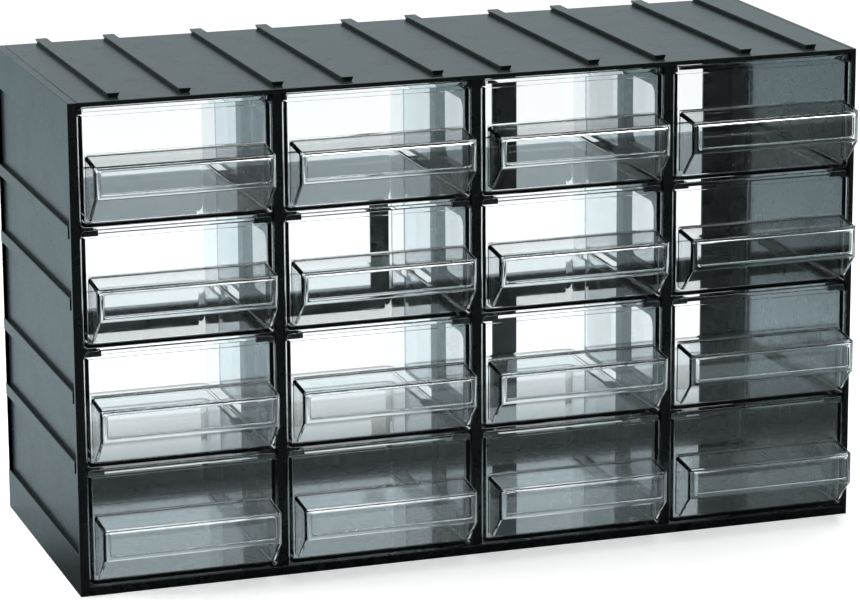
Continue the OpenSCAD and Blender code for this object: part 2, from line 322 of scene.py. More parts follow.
def mould(name: str, shells: list[Shell], cutters: list[Shell] | None = None) -> bpy.types.Mesh:
    """Fuse shells into one closed skin and cut windows and recesses out of it.

    Args:
        name: name of the mesh.
        shells: closed shells that overlap.
        cutters: closed shells to take away.

    Returns:
        The fused mesh.
    """
    parts = [bare_object(shell.to_mesh(f"{name}_{index}")) for index, shell in enumerate(shells)]
    tools = [bare_object(tool.to_mesh(f"{name}_tool_{index}")) for index, tool in enumerate(cutters or [])]
    base = parts[0]
    joins = [(part, "UNION") for part in parts[1:]] + [(tool, "DIFFERENCE") for tool in tools]
    for other, operation in joins:
        step = base.modifiers.new("fuse", "BOOLEAN")
        step.operation = operation
        step.solver = "MANIFOLD"
        step.object = other
    graph = bpy.context.evaluated_depsgraph_get()
    mesh = bpy.data.meshes.new_from_object(base.evaluated_get(graph))
    mesh.name = name
    for made in parts + tools:
        data = made.data
        bpy.data.objects.remove(made)
        bpy.data.meshes.remove(data)
    tidy(mesh)
    soften(mesh)
    return mesh


def tidy(mesh: bpy.types.Mesh, weld: float = 0.002, flat: float = 0.2) -> None:
    """Join the faces of one plane that the fusing left in pieces.

    Args:
        mesh: the fused mesh.
        weld: points closer than this are one, in millimetres.
        flat: largest angle between faces of one plane, in degrees.
    """
    work = bmesh.new()
    work.from_mesh(mesh)
    bmesh.ops.remove_doubles(work, verts=work.verts, dist=weld * MM)
    bmesh.ops.dissolve_limit(
        work,
        angle_limit=float(np.radians(flat)),
        use_dissolve_boundaries=False,
        verts=work.verts,
        edges=work.edges,
    )
    work.to_mesh(mesh)
    work.free()


def soften(mesh: bpy.types.Mesh, narrow: float = 1.3, crease: float = 40.0) -> None:
    """Shade the narrow strips of roundings smooth and leave broad faces flat.

    A face is narrow where its area over its longest edge is under the limit.

    Args:
        mesh: the mesh to shade.
        narrow: widest strip that is shaded smooth, in millimetres.
        crease: angle in degrees above which an edge stays sharp.
    """
    area = np.empty(len(mesh.polygons))
    mesh.polygons.foreach_get("area", area)
    corner_edges = np.empty(len(mesh.loops), np.int32)
    mesh.loops.foreach_get("edge_index", corner_edges)
    ends = np.empty(len(mesh.edges) * 2, np.int32)
    mesh.edges.foreach_get("vertices", ends)
    places = np.empty(len(mesh.vertices) * 3)
    mesh.vertices.foreach_get("co", places)
    pairs = places.reshape(-1, 3)[ends.reshape(-1, 2)]
    lengths = np.linalg.norm(pairs[:, 0] - pairs[:, 1], axis=1)[corner_edges]
    starts = np.empty(len(mesh.polygons), np.int32)
    mesh.polygons.foreach_get("loop_start", starts)
    longest = np.maximum.reduceat(lengths, starts)
    mesh.set_sharp_from_angle(angle=float(np.radians(crease)))
    mesh.polygons.foreach_set("use_smooth", area / np.maximum(longest, TINY) < narrow * MM)
    mesh.update()


# ---------------------------------------------------------------- finishes


class Nodes:
    """Small helper that adds and links shader nodes in one tree."""

    def __init__(self, tree: bpy.types.NodeTree) -> None:
        """Start on a tree.

        Args:
            tree: the node tree to build in.
        """
        self.tree = tree

    def add(self, kind: str, **settings: object) -> bpy.types.Node:
        """Add a node.

        Args:
            kind: Blender's name of the node type.
            settings: attributes of the node, and inputs as in_ and their name.

        Returns:
            The node.
        """
        node = self.tree.nodes.new(kind)
        for key, value in settings.items():
            if key.startswith("in_"):
                node.inputs[key[3:].replace("_", " ")].default_value = value
            else:
                setattr(node, key, value)
        return node

    def link(self, source: Socket, target: Socket) -> None:
        """Join an output to an input."""
        self.tree.links.new(source, target)

    def feed(self, target: Socket, value: object) -> None:
        """Give an input another node's output to read, or a constant to hold."""
        if isinstance(value, Socket):
            self.link(value, target)
        else:
            target.default_value = value

    def math(self, operation: str, first: object, second: object = 0.0) -> Socket:
        """Add a Math node on two sockets or numbers.

        Args:
            operation: Blender's name of the operation.
            first: a socket or a number.
            second: a socket or a number.

        Returns:
            The result's socket.
        """
        node = self.add("ShaderNodeMath", operation=operation)
        self.feed(node.inputs[0], first)
        self.feed(node.inputs[1], second)
        return node.outputs[0]

    def times(self, first: object, second: object) -> Socket:
        """Multiply two sockets or numbers."""
        return self.math("MULTIPLY", first, second)

    def without(self, mask: Socket) -> Socket:
        """One less a mask."""
        return self.math("SUBTRACT", 1.0, mask)

    def blend(self, share: Socket, first: object, second: object, kind: str = "FLOAT") -> Socket:
        """Mix two sockets, numbers or colours by a share from 0 to 1."""
        node = self.add("ShaderNodeMix", data_type=kind)
        for label, value in (("Factor", share), ("A", first), ("B", second)):
            self.feed(node.inputs[label], value)
        return node.outputs["Result"]

    def spread(self, value: Socket, ends: Pair, span: Pair = (0.0, 1.0), kind: str = "LINEAR") -> Socket:
        """Carry a value over from a span to a range.

        Args:
            value: the value.
            ends: what it becomes at the two ends of the span.
            span: the span that it is taken from.
            kind: Blender's name of the way between.

        Returns:
            The result's socket.
        """
        node = self.add("ShaderNodeMapRange", interpolation_type=kind)
        node.inputs["From Min"].default_value, node.inputs["From Max"].default_value = span
        node.inputs["To Min"].default_value, node.inputs["To Max"].default_value = ends
        self.link(value, node.inputs["Value"])
        return node.outputs["Result"]

    def fade(self, value: Socket, span: Pair, ends: Pair) -> Socket:
        """Smooth step of a value over a span, from one end strength to the other."""
        return self.spread(value, ends, span, "SMOOTHSTEP")


def group_tree(
    name: str, inputs: dict[str, float], outputs: list[str]
) -> tuple[Nodes, bpy.types.Node, bpy.types.Node]:
    """Start a shader node group that takes a vector and numbers and gives masks.

    Args:
        name: name of the group.
        inputs: its number inputs and their usual values.
        outputs: names of its outputs.

    Returns:
        The helper for its tree, its input node and its output node.
    """
    tree = bpy.data.node_groups.new(name, "ShaderNodeTree")
    tree.interface.new_socket("Vector", in_out="INPUT", socket_type="NodeSocketVector")
    for label, usual in inputs.items():
        socket = tree.interface.new_socket(label, in_out="INPUT", socket_type="NodeSocketFloat")
        socket.default_value = usual
    for label in outputs:
        tree.interface.new_socket(label, in_out="OUTPUT", socket_type="NodeSocketFloat")
    nodes = Nodes(tree)
    return nodes, nodes.add("NodeGroupInput"), nodes.add("NodeGroupOutput")


def grain_group() -> bpy.types.NodeTree:
    """Fine spark-eroded grain of a mould, as a height, with slow patches as a mask.

    Returns:
        The group, made once.
    """
    if "mould_grain" in bpy.data.node_groups:
        return bpy.data.node_groups["mould_grain"]
    nodes, given, made = group_tree("mould_grain", {"Grain": 2600.0, "Patch": 26.0}, ["Height", "Patches"])
    fine = nodes.add("ShaderNodeTexNoise", in_Detail=3.0, in_Roughness=0.62)
    broad = nodes.add("ShaderNodeTexNoise", in_Detail=4.0, in_Roughness=0.55)
    for texture, scale in ((fine, "Grain"), (broad, "Patch")):
        nodes.link(given.outputs["Vector"], texture.inputs["Vector"])
        nodes.link(given.outputs[scale], texture.inputs["Scale"])
    nodes.link(fine.outputs["Fac"], made.inputs["Height"])
    nodes.link(broad.outputs["Fac"], made.inputs["Patches"])
    return nodes.tree


def handling_group(gate_level: float = 0.56) -> bpy.types.NodeTree:
    """Marks of handling: short fine scratches and faint rubbed patches, as masks.

    Scratches are the thin middle lines of a noise that is squeezed along two axes.

    Args:
        gate_level: level of a second noise above which there are scratches at all.

    Returns:
        The group, made once.
    """
    if "handling_marks" in bpy.data.node_groups:
        return bpy.data.node_groups["handling_marks"]
    usual = {"Scale": 60.0, "Width": 0.012}
    nodes, given, made = group_tree("handling_marks", usual, ["Scratches", "Rubbed"])
    stretch = nodes.add("ShaderNodeMapping", in_Rotation=(0.3, 0.5, 0.9), in_Scale=(1.0, 7.0, 7.0))
    lines = nodes.add("ShaderNodeTexNoise", in_Detail=1.0)
    gate = nodes.add("ShaderNodeTexNoise", in_Detail=2.0)
    rubbed = nodes.add("ShaderNodeTexNoise", in_Detail=5.0, in_Roughness=0.6)
    nodes.link(given.outputs["Vector"], stretch.inputs["Vector"])
    nodes.link(stretch.outputs["Vector"], lines.inputs["Vector"])
    nodes.link(given.outputs["Scale"], lines.inputs["Scale"])
    for texture in (gate, rubbed):
        nodes.link(given.outputs["Vector"], texture.inputs["Vector"])
        nodes.link(given.outputs["Scale"], texture.inputs["Scale"])
    off_line = nodes.math("ABSOLUTE", nodes.math("SUBTRACT", lines.outputs["Fac"], 0.5))
    on_line = nodes.math("LESS_THAN", off_line, given.outputs["Width"])
    open_gate = nodes.math("GREATER_THAN", gate.outputs["Fac"], gate_level)
    nodes.link(nodes.times(on_line, open_gate), made.inputs["Scratches"])
    nodes.link(rubbed.outputs["Fac"], made.inputs["Rubbed"])
    return nodes.tree


@dataclass(frozen=True)
class Finish:
    """Moulded plastic: what all finishes share, and the material that they are built as."""

    name: str
    slot: str
    ior: float
    rough: Pair
    scratched: float
    grain: float
    bump: float
    bump_depth: float

    def color(self, nodes: Nodes, shader: bpy.types.Node, patches: Socket) -> None:
        """Set the shader's own inputs of a finish.

        Args:
            nodes: helper of the material's tree.
            shader: the Principled shader.
            patches: mask of slow patches.
        """
        raise NotImplementedError

    def material(self) -> bpy.types.Material:
        """Build the material, or return it if it is there.

        Returns:
            The material.
        """
        if self.name in bpy.data.materials:
            return bpy.data.materials[self.name]
        material = bpy.data.materials.new(self.name)
        material.use_nodes = True
        nodes = Nodes(material.node_tree)
        shader = material.node_tree.nodes["Principled BSDF"]
        shader.inputs["IOR"].default_value = self.ior
        place = nodes.add("ShaderNodeTexCoord")
        grain = nodes.add("ShaderNodeGroup", node_tree=grain_group())
        grain.inputs["Grain"].default_value = self.grain
        marks = nodes.add("ShaderNodeGroup", node_tree=handling_group())
        for group in (grain, marks):
            nodes.link(place.outputs["Object"], group.inputs["Vector"])
        self.color(nodes, shader, grain.outputs["Patches"])
        rough = nodes.spread(marks.outputs["Rubbed"], self.rough)
        scratched = nodes.times(marks.outputs["Scratches"], self.scratched)
        nodes.link(nodes.math("ADD", rough, scratched), shader.inputs["Roughness"])
        bump = nodes.add("ShaderNodeBump", in_Strength=self.bump, in_Distance=self.bump_depth)
        nodes.link(grain.outputs["Height"], bump.inputs["Height"])
        nodes.link(bump.outputs["Normal"], shader.inputs["Normal"])
        return material


@dataclass(frozen=True)
class CasePlastic(Finish):
    """Black moulded plastic with a fine satin grain."""

    name: str = "black_satin_plastic"
    slot: str = "case_plastic"
    ior: float = 1.42
    rough: Pair = (0.25, 0.30)
    scratched: float = 0.10
    grain: float = 2600.0
    bump: float = 0.35
    bump_depth: float = 0.00002
    deep: Color = (0.0080, 0.0105, 0.0115, 1.0)
    worn: Color = (0.0100, 0.0128, 0.0140, 1.0)
    sheen: Color = (0.92, 0.99, 1.0, 1.0)

    def color(self, nodes: Nodes, shader: bpy.types.Node, patches: Socket) -> None:
        """Near black in slow patches, with a cool sheen.

        Args:
            nodes: helper of the material's tree.
            shader: the Principled shader.
            patches: mask of slow patches.
        """
        shader.inputs["Specular Tint"].default_value = self.sheen
        nodes.link(nodes.blend(patches, self.deep, self.worn, "RGBA"), shader.inputs["Base Color"])


@dataclass(frozen=True)
class ClearPlastic(Finish):
    """Crystal-clear polished plastic with light handling marks."""

    name: str = "clear_crystal_plastic"
    slot: str = "drawer_plastic"
    ior: float = 1.49
    rough: Pair = (0.0, 0.014)
    scratched: float = 0.04
    grain: float = 55.0
    bump: float = 0.3
    bump_depth: float = 0.0000015
    body: Color = (0.975, 0.99, 0.995, 1.0)

    def color(self, nodes: Nodes, shader: bpy.types.Node, patches: Socket) -> None:
        """Clear all over, so the patches aren't used.

        Args:
            nodes: helper of the material's tree, not used here.
            shader: the Principled shader.
            patches: mask of slow patches, not used here.
        """
        shader.inputs["Base Color"].default_value = self.body
        shader.inputs["Transmission Weight"].default_value = 1.0


CASE_PLASTIC = CasePlastic()
CLEAR_PLASTIC = ClearPlastic()


def add_piece(mesh: bpy.types.Mesh, node: str, body: str, finish: Finish) -> bpy.types.Object:
    """Make a mesh a piece of the cabinet that stands for a CAD node.

    Args:
        mesh: the finished mesh, in place.
        node: the CAD node that it replaces.
        body: the CAD body that it rides on.
        finish: its finish, which gives the piece its material.

    Returns:
        The piece.
    """
    mesh.materials.clear()
    mesh.materials.append(finish.material())
    piece = bare_object(mesh)
    piece.name = f"{node}_moulding"
    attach(piece, body)
    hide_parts(node)
    log.info("%s: %d faces", piece.name, len(mesh.polygons))
    return piece


# ---------------------------------------------------------------- the case


def edges_mm(node: str) -> tuple[np.ndarray, np.ndarray]:
    """Lowest and highest corner of a CAD node, in millimetres."""
    low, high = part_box(node)
    return np.array(low) / MM, np.array(high) / MM


@dataclass
class Ribs:
    """Sizes of the dovetail ribs that link cabinets to each other."""

    height: float = 2.1
    face: float = 6.1
    undercut: float = 0.95
    pair: float = 33.0
    start: float = 6.7
    socket_start: float = 5.5
    edge: float = 0.22
    root_round: float = 0.35
    foot_round: float = 0.25
    crest_round: float = 0.3

    def section(self, depth: float) -> np.ndarray:
        """Section of a rib that stands on the first axis and is rooted below it.

        Args:
            depth: how deep its root goes.

        Returns:
            The outline, wider at its top by twice the undercut.
        """
        root, half, top = self.face / 2 - self.undercut, self.face / 2, self.height
        buried, foot, crest = self.root_round, self.foot_round, self.crest_round
        return shaped_outline(
            [
                (-root, -depth, buried),
                (root, -depth, buried),
                (root, 0, foot),
                (half, top, crest),
                (-half, top, crest),
                (-root, 0, foot),
            ]
        )

    def band(self, width: float, depth: float) -> np.ndarray:
        """Section of an end band, square at its start and undercut at its free flank."""
        root, top = width - self.undercut, self.height
        buried, crest = self.root_round, self.crest_round
        return shaped_outline(
            [
                (0, -depth, buried),
                (root, -depth, buried),
                (root, 0, self.foot_round),
                (width, top, crest),
                (0, top, crest),
            ]
        )


def turned(outline: np.ndarray, right_angles: int, to: Pair, mirrored: bool = False) -> np.ndarray:
    """Turn a flat outline about the origin and move it.

    Args:
        outline: the outline.
        right_angles: how many right angles it turns counter-clockwise.
        to: where its origin goes.
        mirrored: whether its first axis is reversed before it turns.

    Returns:
        The outline in its new place, still counter-clockwise.
    """
    points = outline * ((-1, 1) if mirrored else (1, 1))
    angle = right_angles * np.pi / 2
    spin = np.array([[np.cos(angle), np.sin(angle)], [-np.sin(angle), np.cos(angle)]])
    placed = points @ spin + np.array(to, float)
    return placed[::-1] if mirrored else placed


@dataclass
class Case:
    """The fixed part of the cabinet: panels, partitions and the lattice behind."""

    wall: float = 2.2
    rim_depth: float = 2.5
    modules_across: int = 5
    modules_up: int = 3
    post: float = 4.6
    post_depth: float = 11.0
    rear_post_depth: float = 9.5
    partition_depth: float = 59.0
    post_inset: float = 0.5
    rail: float = 22.4
    window_radius: float = 5.0
    runner_start: float = 3.1
    runner_width: float = 7.0
    runner_thick: float = 2.0
    stop_width: float = 9.0
    top_stop_width: float = 2.9
    stop_thick: float = 3.4
    stop_drop: float = 3.8
    top_stop_drop: float = 3.8
    flange: float = 15.4
    flange_thick: float = 2.0
    lip: float = 7.7
    lattice_bar: float = 12.7
    upper_rail: Pair = (139.5, 161.3)
    lower_rail: Pair = (83.65, 96.35)
    outer_bar: float = 64.4
    seam: float = 0.08
    root: float = 0.8
    edge: float = 0.3
    shelf_edge: float = 0.25
    rows: int = 4
    body: str = "case"
    ribs: Ribs = field(default_factory=Ribs)

    def __post_init__(self) -> None:
        """Read the case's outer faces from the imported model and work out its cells."""
        left_low, left_high = edges_mm("left_side_panel")
        right_low, right_high = edges_mm("right_side_panel")
        self.left, self.front, self.base = (float(value) for value in left_low)
        self.back = float(left_high[1])
        self.height = float(left_high[2])
        self.right = float(right_high[0]) - self.ribs.height
        self.width = self.right - self.left
        self.inner_left = self.left + self.ribs.height + self.wall
        self.inner_right = self.right - self.wall
        self.floor = self.base + self.ribs.height + self.wall
        self.ceiling = self.height - self.wall
        self.row_height = (self.ceiling - self.floor) / self.rows
        self.boundaries = [self.ceiling - row * self.row_height for row in range(1, self.rows)]
        self.pitch_across = self.width / self.modules_across
        self.pitch_up = (self.height - self.base) / self.modules_up
        self.middle_up = self.base + self.modules_up * self.pitch_up / 2
        self.across = (self.inner_left + self.seam, self.inner_right - self.seam)
        self.upright = (self.floor + self.seam, self.ceiling - self.seam)
        self.runner_front = self.front + self.runner_start
        self.runner_back = self.front + self.partition_depth

    def pair_places(self, count: int, pitch: float, middle: float) -> list[float]:
        """Places of both ribs of each pair, for pairs at a pitch about a middle."""
        centres = [middle + (index - (count - 1) / 2) * pitch for index in range(count)]
        return [centre + side * self.ribs.pair / 2 for centre in centres for side in (-1, 1)]

    def rib(self, place: Pair, right_angles: int, start: float) -> Shell:
        """One rib along the depth, standing on a panel's face.

        Args:
            place: where the middle of its root is, in X and Z.
            right_angles: how it is turned.
            start: distance of its front end from the front of the case.

        Returns:
            The rib's shell.
        """
        outline = turned(self.ribs.section(self.wall / 2), right_angles, place)
        return prism(outline, self.front + start, self.back, Plane.FRONT, self.ribs.edge)

    def rectangle(self, low: Pair, high: Pair, start: float, end: float) -> Shell:
        """Flat bar drawn in X and Z that runs along the depth."""
        return prism(panel_outline(low, high, self.edge), start, end, Plane.FRONT, self.edge)

    def panel(self, low: Pair, high: Pair) -> Shell:
        """Panel drawn in X and Z that runs from the case's front to its back."""
        return self.rectangle(low, high, self.front, self.back)

    def bands(self, width: float, right_angles: int, ends: list[tuple[Pair, bool]]) -> list[Shell]:
        """Bands at both ends of the recess that takes another cabinet's ribs.

        Args:
            width: width of a band at its top.
            right_angles: how the bands are turned.
            ends: for each band the place of its square corner, and whether it is mirrored.

        Returns:
            Their shells.
        """
        section = self.ribs.band(width, self.wall / 2)
        return [
            prism(turned(section, right_angles, to, flip), self.front, self.back, Plane.FRONT, self.edge)
            for to, flip in ends
        ]

    def runners(self, face: float, side: int) -> list[Shell]:
        """Runners and stop tabs beside the cells on one side of a wall.

        Args:
            face: X of the wall's face.
            side: 1 where they reach out to the right, -1 to the left.

        Returns:
            Their shells.
        """
        made = []
        stop_end = self.runner_front + self.stop_thick
        for level in self.boundaries:
            under = level - self.runner_thick
            made.append(self.shelf(face, side, self.runner_width, (under, level), self.runner_back))
            tab = (level - self.stop_drop, level - self.runner_thick / 2)
            made.append(self.shelf(face, side, self.stop_width, tab, stop_end))
        tab = (self.ceiling - self.top_stop_drop, self.ceiling - self.seam)
        made.append(self.shelf(face, side, self.top_stop_width, tab, stop_end))
        return made

    def shelf(self, face: float, side: int, width: float, levels: Pair, end: float) -> Shell:
        """Small block that stands out of a wall's face, rooted a little inside it."""
        across = sorted((face - side * self.root, face + side * width))
        low = (across[0], self.runner_front, levels[0])
        return slab(low, (across[1], end, levels[1]), self.shelf_edge)

    def left_panel(self) -> bpy.types.Mesh:
        """Side with a front rim, end bands and ribs around a recess, as one mesh."""
        ribs = self.ribs
        skin = self.left + ribs.height
        band = (ribs.pair + ribs.face) / 2
        shells = [self.panel((skin, self.base), (self.inner_left, self.height))]
        shells += self.bands(band, 1, [((skin, self.base), False), ((skin, self.height), True)])
        for level in self.pair_places(self.modules_up - 1, self.pitch_up, self.middle_up):
            shells.append(self.rib((skin, level), 1, ribs.socket_start))
        rim_end = self.front + self.rim_depth
        rim_low = (self.left, self.front, self.base)
        shells.append(slab(rim_low, (skin + self.root, rim_end, self.height), self.edge))
        shells += self.runners(self.inner_left, 1)
        shells.append(self.side_flange(self.inner_left, 1))
        return mould("left_side_panel", shells)

    def right_panel(self) -> bpy.types.Mesh:
        """Plain side with ribs standing out of it, as one mesh."""
        shells = [self.panel((self.inner_right, self.base), (self.right, self.height))]
        for level in self.pair_places(self.modules_up, self.pitch_up, self.middle_up):
            shells.append(self.rib((self.right, level), -1, self.ribs.start))
        shells += self.runners(self.inner_right, -1)
        shells.append(self.side_flange(self.inner_right, -1))
        return mould("right_side_panel", shells)

    def side_flange(self, face: float, side: int) -> Shell:
        """Flange along the back of a side panel."""
        across = sorted((face - side * self.root, face + side * self.flange))
        low = (across[0], self.back - self.flange_thick, self.upright[0])
        return slab(low, (across[1], self.back, self.upright[1]), self.edge)

    def lip_shell(self, low: float, high: float) -> Shell:
        """Lip along the back of the top or bottom panel."""
        reach = self.flange + self.seam
        return slab(
            (self.inner_left + reach, self.back - self.flange_thick, low),
            (self.inner_right - reach, self.back, high),
            self.edge,
        )

    def top_panel(self) -> bpy.types.Mesh:
        """Top between the side panels, with its ribs and rear lip."""
        left, right = self.across
        shells = [self.panel((left, self.ceiling), (right, self.height))]
        for place in self.pair_places(self.modules_across, self.pitch_across, 0.0):
            shells.append(self.rib((place, self.height), 0, self.ribs.start))
        shells.append(self.lip_shell(self.ceiling - self.lip, self.ceiling + self.root))
        return mould("top_panel", shells)

    def bottom_panel(self) -> bpy.types.Mesh:
        """Bottom between the side panels, with its rim, bands, ribs and rear lip."""
        ribs = self.ribs
        skin = self.base + ribs.height
        band = (ribs.pair + ribs.face) / 2 - (self.width / 2 - self.inner_right)
        left, right = self.across
        shells = [self.panel((left, skin), (right, self.floor))]
        shells += self.bands(band, 2, [((left, skin), True), ((right, skin), False)])
        for place in self.pair_places(self.modules_across - 1, self.pitch_across, 0.0):
            shells.append(self.rib((place, skin), 2, ribs.socket_start))
        rim_end = self.front + self.rim_depth
        rim_low = (left, self.front, self.base)
        shells.append(slab(rim_low, (right, rim_end, skin + self.root), self.edge))
        shells.append(self.lip_shell(self.floor - self.root, self.floor + self.lip))
        return mould("bottom_panel", shells)

    def partition(self, node: str) -> bpy.types.Mesh:
        """Upright frame between two columns, with a window for each row.

        Args:
            node: the partition's CAD node, which gives its place.

        Returns:
            The mesh.
        """
        low, high = edges_mm(node)
        middle = float(low[0] + high[0]) / 2
        left, right = middle - self.post / 2, middle + self.post / 2
        front = self.front + self.post_inset
        floor, ceiling = self.upright
        outline = panel_outline((front, floor), (self.runner_back, ceiling), self.edge)
        shells = [prism(outline, left, right, Plane.SIDE, self.edge)]
        shells += self.runners(right, 1) + self.runners(left, -1)
        cutters = []
        near, far = self.front + self.post_depth, self.runner_back - self.rear_post_depth
        for row in range(1, self.rows + 1):
            level = self.ceiling - row * self.row_height
            top = level + self.row_height - self.rail / 2
            corners = box_corners((near, level + self.rail / 2), (far, top))
            window = rounded_outline(corners, self.window_radius, steps=6)
            cutters.append(window_cutter(window, left, right, Plane.SIDE, self.edge))
        return mould(node, shells, cutters)

    def lattice(self) -> bpy.types.Mesh:
        """Two rails across the back and staggered bars above, between and below."""
        node = "back_lattice"
        low, high = edges_mm(node)
        half = self.lattice_bar / 2
        start, end = float(low[1]), float(high[1])
        left, right = self.across
        lower, upper = sum(self.lower_rail) / 2, sum(self.upper_rail) / 2
        shells = [
            self.rectangle((left, rail_low), (right, rail_high), start, end)
            for rail_low, rail_high in (self.lower_rail, self.upper_rail)
        ]
        shells.append(self.rectangle((-half, lower), (half, upper), start, end))
        for place in (-self.outer_bar, self.outer_bar):
            bottom_end, top_end = self.upright
            shells.append(self.rectangle((place - half, upper), (place + half, top_end), start, end))
            shells.append(self.rectangle((place - half, bottom_end), (place + half, lower), start, end))
        return mould(node, shells)

    def build(self) -> None:
        """Build every fixed piece and put it on the case's body."""
        meshes = {
            "left_side_panel": self.left_panel(),
            "right_side_panel": self.right_panel(),
            "top_panel": self.top_panel(),
            "bottom_panel": self.bottom_panel(),
            "back_lattice": self.lattice(),
        }
        for node in sorted(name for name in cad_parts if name.startswith("partition_")):
            meshes[node] = self.partition(node)
        for node, mesh in meshes.items():
            add_piece(mesh, node, self.body, CASE_PLASTIC)


# ---------------------------------------------------------------- the drawers


@dataclass
class Drawer:
    """One clear drawer, with Y from the face of its plate and Z from its runner."""

    plate_thick: float = 2.0
    plate_radius: float = 2.0
    plate_gap: float = 0.6
    side_gap: float = 0.7
    bead_height: float = 1.8
    bead_out: float = 0.5
    bead_root: float = 1.0
    bin_gap: float = 0.95
    bin_length: float = 119.0
    bin_wall: float = 1.6
    bin_radius: float = 4.0
    bin_front_radius: float = 1.0
    bin_least_radius: float = 0.35
    bin_start: float = 0.5
    bin_foot_round: float = 1.4
    bin_floor_round: float = 1.0
    bin_low: float = 0.3
    bin_top: float = 51.775
    lug_top: float = 53.275
    lug_start: float = 103.2
    lug_length: float = 3.0
    lug_root: float = 1.5
    grip_reach: float = 18.0
    grip_inset: float = 2.4
    grip_root: float = 33.6
    grip_fall: float = 1.9
    grip_thick: float = 2.0
    grip_into_plate: float = 1.9
    grip_back_round: float = 0.68
    grip_under_round: float = 0.9
    label_height: float = 15.3
    label_thick: float = 2.4
    label_recess: float = 1.0
    label_round: float = 0.75
    label_corner: float = 1.0
    end_round: float = 0.6
    top_round: float = 1.8
    lip_round: float = 2.0
    lip_back_round: float = 0.25
    root_fillet: float = 1.3
    fillet_rise: float = 2.6
    fillet_back: float = 0.5
    fillet_front: float = 0.25
    label_fillet: float = 0.2
    corner_round: float = 2.9
    shoulder_round: float = 1.2
    shoulder_end: float = 0.4
    corner_start: float = 5.0
    label_top: float = 2.2
    label_bottom: float = 3.0
    label_end: float = 3.2
    web_thick: float = 1.6
    web_foot: float = 5.0
    web_foot_level: float = 4.9
    web_into_plate: float = 1.2
    web_below: float = 0.6
    web_behind: Pair = (0.9, 1.4)
    web_above_lip: float = 0.5
    web_rounds: tuple[float, ...] = (0.7, 0.8, 0.8, 1.2, 0.7)
    set_in: float = 0.05
    edge: float = 0.4
    fine_edge: float = 0.3

    def __post_init__(self) -> None:
        """Read the plate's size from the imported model."""
        low, high = edges_mm("drawer_r1c1")
        self.plate_width = float(high[0] - low[0])
        self.bin_width = self.plate_width + 2 * self.side_gap - 2 * self.bin_gap
        self.drop = self.bin_low
        self.plate_top = float(high[2] - low[2]) + self.drop
        self.grip_half = self.plate_width / 2 - self.grip_inset

    def plate(self) -> list[Shell]:
        """Front plate with round corners, and the bead along its top edge."""
        half = self.plate_width / 2
        corners = box_corners((-half, self.plate_gap), (half, self.plate_top))
        outline = rounded_outline(corners, self.plate_radius, steps=6)
        bead = slab(
            (-half + self.plate_radius, -self.bead_out, self.plate_top - self.bead_height),
            (half - self.plate_radius, self.bead_root, self.plate_top),
            self.fine_edge,
        )
        return [prism(outline, 0.0, self.plate_thick, Plane.FRONT, self.edge, steps=4), bead]

    def bin(self) -> Shell:
        """Open bin as one skin from under its floor, over the rim, to its inside.

        Each ring is the bin's outline from above, set in by a distance: none on the
        outside and a wall's thickness on the inside, with a quarter round at the
        outer bottom edge, a half round over the rim and a quarter round inside.

        Returns:
            The closed shell.
        """
        wall, rim = self.bin_wall, self.bin_wall / 2
        outer, inner = self.bin_foot_round, self.bin_floor_round
        bow = np.linspace(0, np.pi / 2, 5)
        over = np.linspace(0, np.pi, 9)
        insets = np.concatenate(
            [outer * (1 - np.sin(bow)), rim * (1 - np.cos(over)), wall + inner * (1 - np.cos(bow))]
        )
        floor = self.bin_low + wall
        levels = np.concatenate(
            [
                self.bin_low + outer * (1 - np.cos(bow)),
                self.bin_top - rim + rim * np.sin(over),
                floor + inner * (1 - np.sin(bow)),
            ]
        )
        half = self.bin_width / 2
        start = self.bin_start
        radii = np.array([self.bin_front_radius] * 2 + [self.bin_radius] * 2)
        rings = [
            rounded_outline(
                box_corners((-half + inset, start + inset), (half - inset, self.bin_length - inset)),
                np.maximum(radii - inset, self.bin_least_radius),
                steps=6,
            )
            for inset in insets
        ]
        return sweep(np.array(rings), levels, Plane.TOP)

    def grip(self) -> list[Shell]:
        """Sloped top with the label panel, and the web that closes each end.

        The panel's lower edge is a full round, its upper edge a broad one, and the top
        runs up into the plate in a hollow fillet.

        Returns:
            The shells.
        """
        reach, root = self.grip_reach, self.grip_root
        front = root - self.grip_fall
        label_low = front - self.label_height
        inner = reach - self.label_thick
        under = root - self.grip_thick - inner * self.grip_fall / reach
        half = self.grip_half
        rise = root + self.fillet_rise
        rooted, back = self.grip_into_plate, self.grip_back_round
        profile = shaped_outline(
            [
                (rooted, rise, back),
                (self.fillet_back, rise, back),
                (-self.fillet_front, root, self.root_fillet),
                (-reach, front, self.top_round),
                (-reach, label_low, self.lip_round),
                (-inner, label_low, self.lip_back_round),
                (-inner, under, self.grip_under_round),
                (rooted, root - self.grip_thick, back),
            ],
            steps=6,
        )
        shells = [prism(profile, -half, half, Plane.SIDE, self.end_round, steps=5)]
        upper, lower = self.web_behind
        web = rounded_outline(
            [
                (self.web_into_plate, root - self.web_below),
                (-reach + upper, front - self.web_below),
                (-reach + lower, label_low + self.web_above_lip),
                (-self.web_foot, self.web_foot_level),
                (self.web_into_plate, self.web_foot_level),
            ],
            self.web_rounds,
        )
        for low in (-half + self.set_in, half - self.web_thick - self.set_in):
            ends = (low, low + self.web_thick)
            shells.append(prism(web, *ends, Plane.SIDE, self.end_round, steps=5))
        return shells

